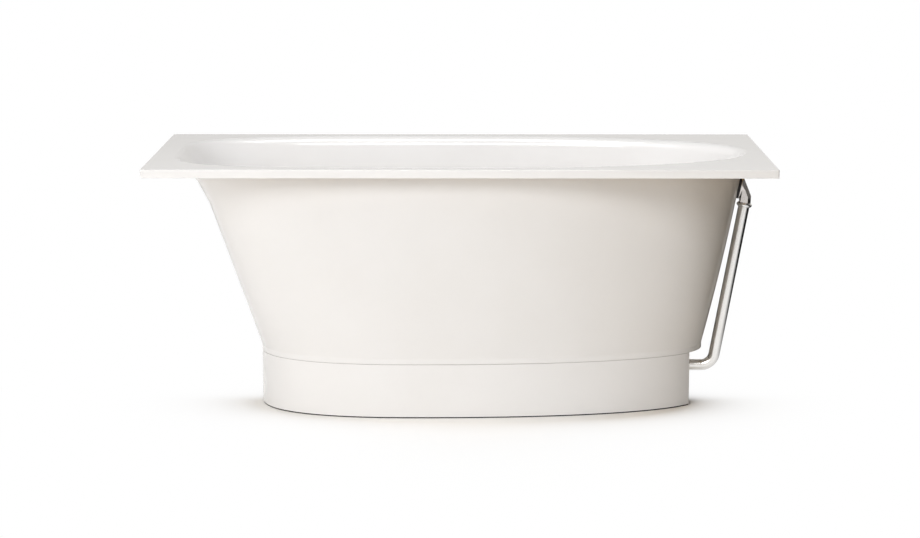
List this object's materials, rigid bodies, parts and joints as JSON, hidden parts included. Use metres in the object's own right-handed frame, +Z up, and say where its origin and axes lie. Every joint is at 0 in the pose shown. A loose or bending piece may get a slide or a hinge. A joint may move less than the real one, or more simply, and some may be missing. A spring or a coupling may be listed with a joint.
{
  "type": "bathtub",
  "caption": "White bathtub with a flat rectangular rim, egg-shaped basin, flared oval body on an oval plinth, push-plug drain and an outside overflow pipe.",
  "frame": {"origin": "on the floor under the middle of the rim", "axes": "+X along the length towards the overflow end, +Y to the rear long side, +Z up"},
  "size_m": [1.5, 0.7, 0.625],
  "materials": {
    "white_acrylic": "glossy",
    "board": "raw board, resin coated",
    "zinc_steel": "galvanised",
    "bright_metal": "satin nickel plate",
    "black_rubber": "matt",
    "brass_fitting": "cast and turned",
    "pad_plastic": "matt",
    "grey_plastic": "matt"
  },
  "bodies": {
    "tub": {"bath_shell": "white_acrylic", "outer_shell": "white_acrylic", "plinth_skirt": "white_acrylic", "rim_frame": "board", "base_board": "board", "rail_head": "zinc_steel", "rail_foot": "zinc_steel", "rail_nuts": "zinc_steel", "rail_screws": "zinc_steel", "plinth_clips": "zinc_steel", "clip_screws": "zinc_steel", "plinth_seal": "black_rubber", "pipe_grommet": "black_rubber", "waste_top_washer": "black_rubber", "waste_lower_washer": "black_rubber", "tail_seal": "black_rubber", "overflow_outer_gasket": "black_rubber", "overflow_inner_gasket": "black_rubber", "overflow_pipe_seal": "black_rubber", "pipe_union_seal": "black_rubber", "waste_flange": "bright_metal", "overflow_elbow": "bright_metal", "overflow_collar_nut": "bright_metal", "overflow_pipe": "bright_metal", "overflow_rose": "bright_metal", "overflow_screw": "bright_metal", "pipe_union_nut": "bright_metal", "click_cartridge": "brass_fitting", "overflow_sleeve": "brass_fitting", "waste_tee": "grey_plastic", "tail_pipe": "grey_plastic", "tail_nut": "grey_plastic"},
    "plug": {"plug_cap": "bright_metal", "plug_seal": "black_rubber", "plug_stem": "brass_fitting"},
    "foot_head_front": {"foot_stud_head_front": "zinc_steel", "foot_pad_head_front": "pad_plastic"},
    "foot_head_rear": {"foot_stud_head_rear": "zinc_steel", "foot_pad_head_rear": "pad_plastic"},
    "foot_foot_front": {"foot_stud_foot_front": "zinc_steel", "foot_pad_foot_front": "pad_plastic"},
    "foot_foot_rear": {"foot_stud_foot_rear": "zinc_steel", "foot_pad_foot_rear": "pad_plastic"}
  },
  "joints": [
    {"name": "plug_lift", "type": "slide", "parent": "tub", "child": "plug", "axis": [0, 0, 1], "range_m": [0, 0.01]},
    {"name": "foot_head_front_level", "type": "slide", "parent": "tub", "child": "foot_head_front", "axis": [0, 0, -1], "range_m": [0, 0.012]},
    {"name": "foot_head_rear_level", "type": "slide", "parent": "tub", "child": "foot_head_rear", "axis": [0, 0, -1], "range_m": [0, 0.012]},
    {"name": "foot_foot_front_level", "type": "slide", "parent": "tub", "child": "foot_foot_front", "axis": [0, 0, -1], "range_m": [0, 0.012]},
    {"name": "foot_foot_rear_level", "type": "slide", "parent": "tub", "child": "foot_foot_rear", "axis": [0, 0, -1], "range_m": [0, 0.012]}
  ]
}
